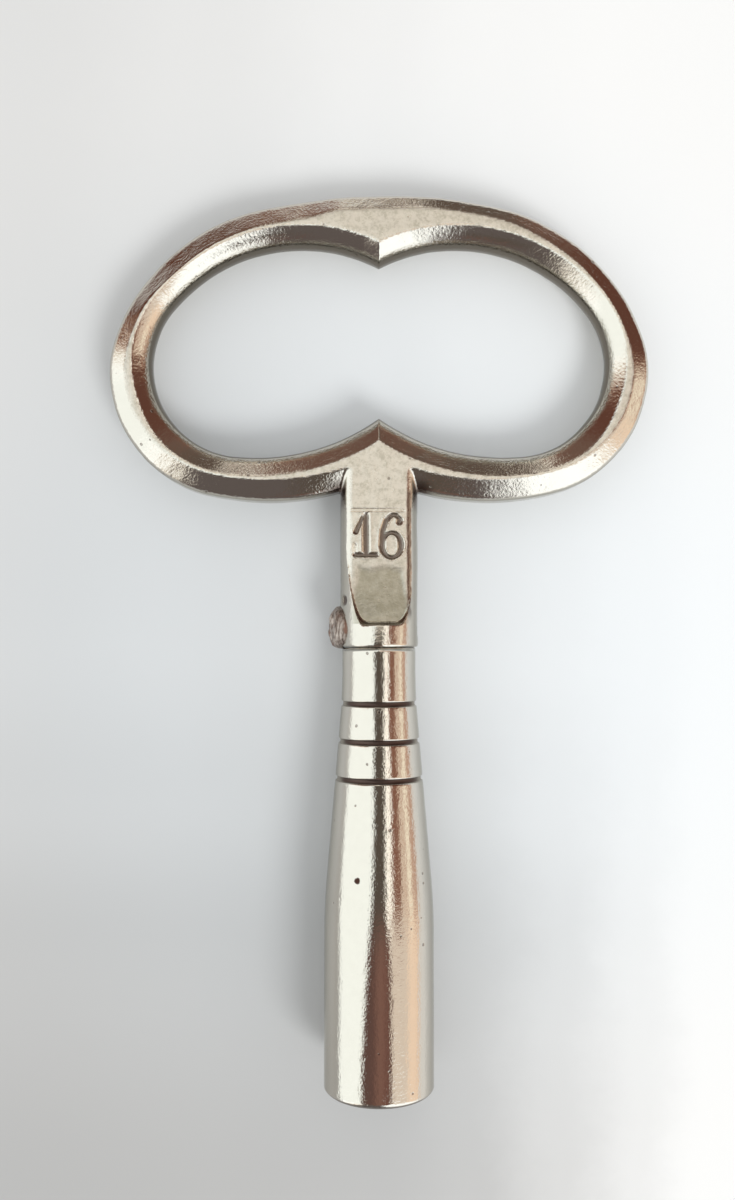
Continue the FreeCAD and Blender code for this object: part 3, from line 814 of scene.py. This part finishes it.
def bow_material():
    """Nickel plate over a grainy casting, its walls darkened by stain and painted shade, darker in the number, and
    with painted shade in the corners under the ring.
    """
    material, nodes, shader, place = new_material("bow_nickel_plate")
    colour, rough, normal = metal_finish(nodes, shader, place, 0.9, BOW_SCRATCHES, 0.6, 1.5)
    stamped, patch, cast, corner_shade_and_rust, wall_stain_and_shade = (nodes.mask(name) for name in BOW_MASKS)
    grain = nodes.noise(place, GRAIN_SIZE, 5.0, 0.8)
    blotch = nodes.noise(place, BLOTCH_SIZE, 3.0, 0.6)
    dull = nodes.times(nodes.times(nodes.fade(grain, 0.42, 0.68), cast), 0.6)
    colour = nodes.mix(dull, colour, PATCH_OLIVE)
    stain = nodes.math("ADD", nodes.times(nodes.fade(blotch, 0.3, 0.7), 0.35), 0.6)
    colour = nodes.mix(nodes.times(patch, stain), colour, PATCH_OLIVE)
    # Stain and painted shade on the walls
    colour = nodes.mix(nodes.times(nodes.fade(wall_stain_and_shade, 0.0, 0.5), 0.6), colour, SIDE_STAIN_AND_SHADE)
    colour = nodes.mix(nodes.times(nodes.fade(wall_stain_and_shade, 0.38, 0.72), 0.95), colour, DARK_STAIN_AND_SHADE)
    # Darker number, and painted shade in the corners with the pit's dirt and the edge's rust
    grime_and_shade = nodes.math("MAXIMUM", nodes.times(stamped, 0.85), nodes.times(corner_shade_and_rust, 0.9))
    colour = nodes.mix(grime_and_shade, colour, GRIME_AND_SHADE)
    nodes.put(colour, shader.inputs["Base Color"])
    rough = nodes.math("ADD", rough, nodes.times(nodes.math("MAXIMUM", cast, stamped), 0.22))
    nodes.put(rough, shader.inputs["Roughness"])
    grainy = nodes.times(grain, nodes.times(cast, nodes.math("SUBTRACT", 1.0, patch)))
    cast_bump = nodes.add("ShaderNodeBump", {"Height": grainy, "Distance": CAST_BUMP, "Normal": normal})
    cast_bump.inputs["Strength"].default_value = 0.6
    nodes.put(cast_bump.outputs[0], shader.inputs["Normal"])
    return material


def rivet_material():
    """Dull streaked steel with brown stains."""
    material, nodes, shader, place = new_material("rivet_dull_steel")
    shader.inputs["Metallic"].default_value = 1.0
    streak = nodes.noise(nodes.stretched(place, (1.0, 0.22, 1.0)), STREAK_SIZE, 4.0, 0.65)
    stain = nodes.noise(place, STAIN_SIZE, 2.0, 0.5)
    colour = nodes.mix(nodes.fade(streak, 0.35, 0.65), STEEL_DARK, STEEL_PALE)
    colour = nodes.mix(nodes.fade(stain, 0.5, 0.62), colour, STEEL_RUST)
    nodes.put(colour, shader.inputs["Base Color"])
    nodes.put(nodes.math("ADD", nodes.times(streak, 0.25), 0.3), shader.inputs["Roughness"])
    bump = nodes.add("ShaderNodeBump", {"Height": streak, "Distance": RIVET_BUMP})
    bump.inputs["Strength"].default_value = 0.8
    nodes.put(bump.outputs[0], shader.inputs["Normal"])
    return material


def paper_material():
    """Pale paper with painted light, brighter up the picture and to its right, and a painted shadow beside the barrel
    low down; a little blue in the middle.
    """
    material, nodes, shader, place = new_material("pale_paper")
    x, y, _ = nodes.add("ShaderNodeSeparateXYZ", {"Vector": place}).outputs
    mottled = nodes.math("MULTIPLY_ADD", nodes.noise(place, PAPER_SIZE, 5.0, 0.65), 0.10, -0.05)
    share = nodes.math("ADD", nodes.math("MULTIPLY_ADD", x, 12.5, 0.5), mottled)
    # Painted light and the barrel's painted shadow, as the paper's tone
    height = nodes.ramp(nodes.math("MULTIPLY_ADD", y, 7.7, 0.115), FLOOR_HEIGHT)
    shade = nodes.mix(height, nodes.ramp(share, FLOOR_LOW), nodes.ramp(share, FLOOR_HIGH))
    away = nodes.distance(place, (0.0, 0.05, 0.0))
    tint = nodes.mix(nodes.fade(away, 0.025, 0.070), PAPER_BLUE, PAPER_WARM)
    both = nodes.add("ShaderNodeVectorMath", {0: shade, 1: tint}, operation="MULTIPLY").outputs["Vector"]
    nodes.put(both, shader.inputs["Base Color"])
    shader.inputs["Roughness"].default_value = 0.9
    shader.inputs["Specular IOR Level"].default_value = 0.2
    return material


def greys(*stops):
    return [(place, (tone,) * 3) for place, tone in stops]


# The paper's tone from left to right, low and high in the picture, and how the one turns into the other: painted
# light, with the low tones kept down near the middle as a painted shadow of the barrel
FLOOR_LOW = greys((0.0, 0.515), (0.31, 0.535), (0.5, 0.555), (0.625, 0.60), (0.76, 0.73), (0.875, 0.87), (0.96, 0.97))
FLOOR_HIGH = greys((0.0, 0.80), (0.25, 0.85), (0.5, 0.93), (0.675, 0.98), (0.825, 1.0))
FLOOR_HEIGHT = greys((0.0, 0.0), (0.22, 0.25), (0.355, 0.55), (0.49, 0.75), (0.755, 0.9), (0.985, 1.0))


# ---------------------------------------------------------------- stage, light and camera

# Tones of the room that the metal reflects, as linear colours
WHITE = (1.75, 1.84, 1.88)
DAYLIGHT = (1.47, 1.56, 1.55)
GLARE = (1.70, 1.66, 1.55)
CREAM = (1.28, 1.22, 1.10)
LEVEL = (1.08, 1.00, 0.88)
BRIGHT = (1.40, 1.30, 1.08)
BEIGE = (1.04, 0.90, 0.77)
PEACH = (1.30, 1.02, 0.80)
TAN = (0.76, 0.51, 0.39)
COPPER = (0.58, 0.34, 0.24)
RUST = (0.34, 0.165, 0.115)
UMBER = (0.22, 0.135, 0.105)
BROWN = (0.17, 0.072, 0.05)
SHADE = (0.135, 0.11, 0.09)
SMOKE = (0.165, 0.122, 0.098)
CHARCOAL = (0.165, 0.14, 0.135)

# What stands around the key at each bearing, anticlockwise from its right side
AROUND = ((-180, WHITE), (-146, WHITE), (-136, CREAM), (-127, CHARCOAL), (-80, CHARCOAL), (-73, WHITE),
          (-36, WHITE), (-26, CREAM), (-18, TAN), (-5, TAN), (6, COPPER), (15, RUST), (24, BROWN), (58, BROWN),
          (68, RUST), (72, SHADE), (90, SHADE), (94, COPPER), (100, RUST), (114, BROWN), (147, BROWN),
          (152, COPPER), (158, CREAM), (168, WHITE), (180, WHITE))
# The same, higher up on the bow's side
HIGHER = ((0, COPPER), (12, COPPER), (20, BROWN), (50, BROWN), (62, UMBER), (74, SMOKE), (88, SMOKE), (97, UMBER),
          (116, UMBER), (128, BROWN), (147, BROWN), (152, COPPER), (157, CREAM), (168, WHITE), (180, WHITE))
# What the barrel sees across itself from its left to its right, on its taper and near its mouth
TAPER_TONES = ((-180, DAYLIGHT), (-13, DAYLIGHT), (-11, CREAM), (-7, LEVEL), (13, LEVEL), (16, GLARE),
               (26, GLARE), (31, RUST), (47, RUST), (51, TAN), (55, BRIGHT), (58, TAN), (63, TAN), (66, BRIGHT),
               (72, BRIGHT), (77, TAN), (180, TAN))
MOUTH_TONES = ((-180, DAYLIGHT), (-6, DAYLIGHT), (6, BEIGE), (58, BEIGE), (66, PEACH), (84, PEACH), (96, TAN),
               (180, TAN))
# The flag over the barrel, as its left and its right edge from the mouth upwards, and its tones across
FLAG_LEFT = ((-21, -14), (-20.5, -10.5), (-17.8, -3), (-15, 2), (-12.5, 7), (-9, 14), (-6.6, 22), (-6.6, 51.2))
FLAG_RIGHT = ((12.6, -14), (12.6, 4), (11.5, 9), (6.8, 16), (6.8, 51.2))
FLAG_HEIGHT = 30
FLAG_WIDTH = 34
FLAG_FADE = (7, 20)
FLAG_TONES = ((0.0, (0.17, 0.11, 0.095)), (0.4, (0.17, 0.095, 0.08)), (0.65, (0.30, 0.16, 0.125)),
              (0.85, (0.24, 0.12, 0.095)), (1.0, (0.15, 0.08, 0.065)))
# The room as the soft light on the key and the floor, and as the camera would see it
DIFFUSE_TONE = (0.73, 0.73, 0.73)
CAMERA_TONE = (0.93, 0.93, 0.925)


def studio_world():
    """A plain room: reflections see its painted tones, and all else one even tone."""
    world = bpy.data.worlds.new("studio")
    bpy.context.scene.world = world
    world.use_nodes = True
    world.node_tree.nodes.clear()
    nodes = Nodes(world.node_tree)
    way = nodes.add("ShaderNodeTexCoord").outputs["Generated"]
    x, y, z = nodes.add("ShaderNodeSeparateXYZ", {"Vector": way}).outputs

    def tones(side, ahead, stops):
        share = nodes.math("ADD", nodes.math("DIVIDE", nodes.math("ARCTAN2", side, ahead), 2 * math.pi), 0.5)
        return nodes.ramp(share, [((angle + 180) / 360, colour) for angle, colour in stops])

    low = tones(y, x, AROUND)
    beside = nodes.math("ABSOLUTE", nodes.math("SUBTRACT", x, -0.045))
    beyond = nodes.math("ABSOLUTE", nodes.math("SUBTRACT", z, 0.22))
    crown = nodes.times(nodes.fade(beside, 0.10, 0.05), nodes.fade(beyond, 0.05, 0.08))
    crown = nodes.times(crown, nodes.fade(y, 0.3, 0.4))
    higher = nodes.times(nodes.fade(y, 0.16, 0.24), nodes.fade(z, 0.14, 0.165))
    around = nodes.mix(crown, nodes.mix(higher, low, tones(y, x, HIGHER)), CREAM)
    across = nodes.mix(nodes.fade(y, -0.14, -0.20), tones(x, z, TAPER_TONES), tones(x, z, MOUTH_TONES))
    sideways = nodes.times(nodes.fade(y, 0.16, 0.22), nodes.fade(z, 0.8, 0.74))
    colour = nodes.mix(nodes.math("MAXIMUM", nodes.fade(y, -0.42, -0.48), sideways), across, around)
    seen = nodes.add("ShaderNodeLightPath")
    light = nodes.mix(seen.outputs["Is Glossy Ray"], DIFFUSE_TONE, colour)
    light = nodes.mix(seen.outputs["Is Camera Ray"], light, CAMERA_TONE)
    background = nodes.add("ShaderNodeBackground", {"Color": light})
    background.inputs["Strength"].default_value = 1.0
    nodes.add("ShaderNodeOutputWorld", {"Surface": background.outputs[0]})


def add_flag():
    """A studio flag over the barrel, which only reflections see: brown near the mouth, grey above."""
    outline = FLAG_RIGHT + FLAG_LEFT[::-1]
    mesh = bpy.data.meshes.new("dark_flag")
    corners = [(x * MM, y * MM, FLAG_HEIGHT * MM) for x, y in outline]
    mesh.from_pydata(corners, [], [tuple(range(len(corners)))[::-1]])
    material, nodes, _, place = new_material("dark_flag")
    x, y, _ = nodes.add("ShaderNodeSeparateXYZ", {"Vector": place}).outputs
    share = nodes.math("MULTIPLY_ADD", x, 1 / (FLAG_WIDTH * MM), -FLAG_LEFT[0][0] / FLAG_WIDTH)
    above = nodes.fade(y, FLAG_FADE[0] * MM, FLAG_FADE[1] * MM)
    glow = nodes.add("ShaderNodeEmission", {"Color": nodes.mix(above, nodes.ramp(share, FLAG_TONES), SHADE)})
    nodes.put(glow.outputs[0], nodes.tree.get_output_node("ALL").inputs["Surface"])
    mesh.materials.append(material)
    flag = bpy.data.objects.new("dark_flag", mesh)
    bpy.context.scene.collection.objects.link(flag)
    flag.visible_camera = flag.visible_diffuse = flag.visible_shadow = False
    flag.visible_transmission = flag.visible_volume_scatter = False


def add_lamp():
    """A soft round lamp at the lower right, which reflections don't see."""
    lamp = bpy.data.lights.new("side_softbox", "AREA")
    lamp.shape = "DISK"
    lamp.size = LAMP_SIZE
    lamp.energy = LAMP_POWER
    holder = bpy.data.objects.new("side_softbox", lamp)
    bpy.context.scene.collection.objects.link(holder)
    holder.location = LAMP_PLACE
    holder.rotation_euler = (Vector(LAMP_AIM) - holder.location).to_track_quat("-Z", "Y").to_euler()
    holder.visible_glossy = False


def resting_floor(pieces):
    """The plane that the key rests on: it touches it below the mouth's end and the bow's end."""
    places = np.concatenate([[(v.co.y, v.co.z) for v in piece.data.vertices] for piece in pieces])
    slopes = np.linspace(-0.02, 0.10, 481)
    levels = [(places[:, 1] - slope * places[:, 0]).min() for slope in slopes]
    best = int(np.argmax([level + slope * BALANCE for level, slope in zip(levels, slopes)]))
    return slopes[best], levels[best]


def add_floor(material, pieces):
    slope, level = resting_floor(pieces)
    mesh = bpy.data.meshes.new("floor")
    corners = [(x * FLOOR_REACH, y * FLOOR_REACH) for x, y in ((-1, -1), (1, -1), (1, 1), (-1, 1))]
    mesh.from_pydata([(x, y, level + slope * y) for x, y in corners], [], [(0, 1, 2, 3)])
    mesh.materials.append(material)
    floor = bpy.data.objects.new("floor", mesh)
    bpy.context.scene.collection.objects.link(floor)


def add_camera():
    """The photograph's camera, almost straight above the key."""
    data = bpy.data.cameras.new("camera")
    data.sensor_fit = "VERTICAL"
    data.sensor_height = 36.0
    data.lens = 36.0 * FOCAL_PIXELS / IMAGE_HEIGHT
    data.clip_start = 0.01
    camera = bpy.data.objects.new("camera", data)
    bpy.context.scene.collection.objects.link(camera)
    back = Vector((0.0, CAMERA_LEAN, 1.0)).normalized()
    right = Vector((1.0, 0.0, 0.0))
    up = back.cross(right)
    turn = Matrix((right, up, back)).transposed().to_4x4()
    camera.matrix_world = Matrix.Translation((Vector(AIM) + back * CAMERA_DISTANCE) * MM) @ turn
    bpy.context.scene.camera = camera


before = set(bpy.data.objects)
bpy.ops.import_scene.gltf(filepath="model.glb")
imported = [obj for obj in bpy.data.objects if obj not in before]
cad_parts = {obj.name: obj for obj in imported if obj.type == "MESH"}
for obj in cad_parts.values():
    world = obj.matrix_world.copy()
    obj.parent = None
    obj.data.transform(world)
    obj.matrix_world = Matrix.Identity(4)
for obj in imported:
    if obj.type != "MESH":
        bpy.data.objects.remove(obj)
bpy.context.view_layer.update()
bow = make_bow(bow_material())
barrel = make_barrel(barrel_material())
rivet = make_rivet(rivet_material())
studio_world()
add_lamp()
add_flag()
add_floor(paper_material(), (bow, barrel, rivet))
add_camera()
bpy.context.scene.view_settings.view_transform = "Standard"
